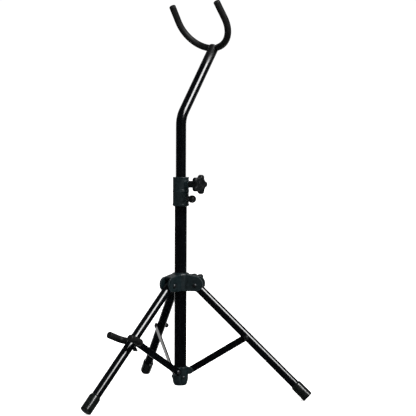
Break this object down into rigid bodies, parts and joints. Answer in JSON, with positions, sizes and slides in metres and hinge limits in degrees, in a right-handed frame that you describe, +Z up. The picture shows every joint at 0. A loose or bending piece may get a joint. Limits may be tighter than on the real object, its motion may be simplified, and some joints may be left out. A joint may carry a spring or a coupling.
{
  "type": "saxophone stand",
  "caption": "Folding tripod saxophone stand with a telescopic clamped column, a leaning upper pole with a padded U-shaped yoke, and a padded cradle on the front leg.",
  "frame": {"origin": "column axis at floor level, legs open", "axes": "+Z up the column, the front leg and the cradle along -Y, the upper pole leaning towards +Y, the clamp knob along +X"},
  "size_m": [0.561, 0.4897, 0.9572],
  "materials": {
    "painted_black_steel": "gloss black enamel",
    "charcoal_plastic": "fine satin moulded",
    "black_plastic": "satin moulded",
    "nylon": "natural nylon",
    "brass": "turned",
    "zinc_steel": "bright zinc plated",
    "black_rubber": "matte synthetic rubber"
  },
  "bodies": {
    "column": {"column_tube": "painted_black_steel", "base_hub": "charcoal_plastic", "base_pivot_pins": "zinc_steel", "base_hub_screws": "zinc_steel", "collar_lower": "charcoal_plastic", "collar_upper": "charcoal_plastic", "clamp_insert": "brass", "glide_bush": "nylon", "plunger_barrel": "zinc_steel", "plunger_spring": "zinc_steel"},
    "plunger": {"plunger_pin": "zinc_steel", "plunger_knob": "black_plastic"},
    "clamp_pad": {"clamp_shoe": "nylon"},
    "clamp_screw": {"clamp_stud": "zinc_steel", "clamp_knob": "black_plastic", "clamp_knob_cap": "black_plastic"},
    "pole_glide": {"pole_foot_bush": "nylon"},
    "pole": {"upper_pole": "painted_black_steel", "pole_end_plug": "black_plastic", "yoke_rod": "zinc_steel", "yoke_sleeve_left": "black_rubber", "yoke_sleeve_right": "black_rubber"},
    "leg_slider": {"leg_hub": "charcoal_plastic", "hub_bush": "nylon", "hub_pivot_pins": "zinc_steel", "hub_lock_insert": "brass"},
    "hub_lock_pad": {"hub_lock_shoe": "nylon"},
    "hub_lock_screw": {"hub_lock_stud": "zinc_steel", "hub_lock_knob": "black_plastic", "hub_lock_knob_cap": "black_plastic"},
    "front_leg": {"leg_tube_front": "painted_black_steel", "leg_plug_front": "black_plastic", "foot_front": "black_rubber", "cradle_bushes": "black_plastic", "cradle_nut": "zinc_steel"},
    "right_leg": {"leg_tube_right": "painted_black_steel", "leg_plug_right": "black_plastic", "foot_right": "black_rubber", "brace_pin_right": "zinc_steel", "brace_nut_right": "black_plastic"},
    "left_leg": {"leg_tube_left": "painted_black_steel", "leg_plug_left": "black_plastic", "foot_left": "black_rubber", "brace_pin_left": "zinc_steel", "brace_nut_left": "black_plastic"},
    "front_brace": {"brace_front": "painted_black_steel", "brace_rivet_front": "zinc_steel"},
    "right_brace": {"brace_right": "painted_black_steel", "brace_rivet_right": "zinc_steel"},
    "left_brace": {"brace_left": "painted_black_steel", "brace_rivet_left": "zinc_steel"},
    "cradle": {"cradle_rod": "zinc_steel", "cradle_sleeve_left": "black_rubber", "cradle_sleeve_right": "black_rubber"},
    "cradle_thumbscrew": {"cradle_screw": "zinc_steel", "cradle_screw_tip": "nylon", "cradle_wing": "black_plastic"}
  },
  "joints": [
    {"name": "pole_height", "type": "slide", "parent": "column", "child": "pole_glide", "axis": [0, 0, 1], "range_m": [-0.12, 0.125]},
    {"name": "pole_turn", "type": "hinge", "parent": "pole_glide", "child": "pole", "pos_m": [0, 0, 0.265], "axis": [0, 0, 1], "range_deg": [-180, 180]},
    {"name": "clamp_release", "type": "slide", "parent": "column", "child": "clamp_pad", "axis": [1, 0, 0], "range_m": [0, 0.0025]},
    {"name": "clamp_knob_turn", "type": "hinge", "parent": "clamp_pad", "child": "clamp_screw", "pos_m": [0.04, 0, 0.5145], "axis": [1, 0, 0], "range_deg": [0, 720]},
    {"name": "plunger_pull", "type": "slide", "parent": "column", "child": "plunger", "axis": [1, 0, 0], "range_m": [0, 0.006], "stiffness_N_per_m": 1500, "springref_m": -0.004, "deforming": ["plunger_spring"]},
    {"name": "hub_slide", "type": "slide", "parent": "column", "child": "leg_slider", "axis": [0, 0, 1], "range_m": [0, 0.13227]},
    {"name": "hub_lock_release", "type": "slide", "parent": "leg_slider", "child": "hub_lock_pad", "axis": [0, 1, 0], "range_m": [0, 0.0025]},
    {"name": "hub_lock_knob_turn", "type": "hinge", "parent": "hub_lock_pad", "child": "hub_lock_screw", "pos_m": [0, 0.04, 0.272], "axis": [0, 1, 0], "range_deg": [0, 720]},
    {"name": "front_leg_fold", "type": "hinge", "parent": "leg_slider", "child": "front_leg", "pos_m": [0, -0.038, 0.2702], "axis": [1, 0, 0], "range_deg": [0, 43.37]},
    {"name": "front_brace_swing", "type": "hinge", "parent": "front_leg", "child": "front_brace", "pos_m": [0, -0.16537, 0.14874], "axis": [1, 0, 0], "range_deg": [-93.02, 0]},
    {"name": "right_leg_fold", "type": "hinge", "parent": "leg_slider", "child": "right_leg", "pos_m": [0.03291, 0.019, 0.2702], "axis": [-0.5, 0.866, 0], "range_deg": [0, 43.37]},
    {"name": "right_brace_swing", "type": "hinge", "parent": "right_leg", "child": "right_brace", "pos_m": [0.14321, 0.08268, 0.14874], "axis": [-0.5, 0.866, 0], "range_deg": [-93.02, 0]},
    {"name": "left_leg_fold", "type": "hinge", "parent": "leg_slider", "child": "left_leg", "pos_m": [-0.03291, 0.019, 0.2702], "axis": [-0.5, -0.866, 0], "range_deg": [0, 43.37]},
    {"name": "left_brace_swing", "type": "hinge", "parent": "left_leg", "child": "left_brace", "pos_m": [-0.14321, 0.08268, 0.14874], "axis": [-0.5, -0.866, 0], "range_deg": [-93.02, 0]},
    {"name": "cradle_tilt", "type": "hinge", "parent": "front_leg", "child": "cradle", "pos_m": [0, -0.16537, 0.14874], "axis": [1, 0, 0], "range_deg": [-60, 40]},
    {"name": "cradle_screw_turn", "type": "hinge", "parent": "front_leg", "child": "cradle_thumbscrew", "pos_m": [0, -0.16537, 0.14874], "axis": [0, 0.4327, -0.9015], "range_deg": [0, 675]}
  ],
  "couplings": [
    {"joint": "clamp_release", "follows": "clamp_knob_turn", "m_per_rad": 0.00019894},
    {"joint": "hub_lock_release", "follows": "hub_lock_knob_turn", "m_per_rad": 0.00019894},
    {"joint": "front_leg_fold", "follows": "hub_slide", "rad_per_m": 5.7213},
    {"joint": "front_brace_swing", "follows": "hub_slide", "rad_per_m": -12.272},
    {"joint": "right_leg_fold", "follows": "hub_slide", "rad_per_m": 5.7213},
    {"joint": "right_brace_swing", "follows": "hub_slide", "rad_per_m": -12.272},
    {"joint": "left_leg_fold", "follows": "hub_slide", "rad_per_m": 5.7213},
    {"joint": "left_brace_swing", "follows": "hub_slide", "rad_per_m": -12.272}
  ]
}
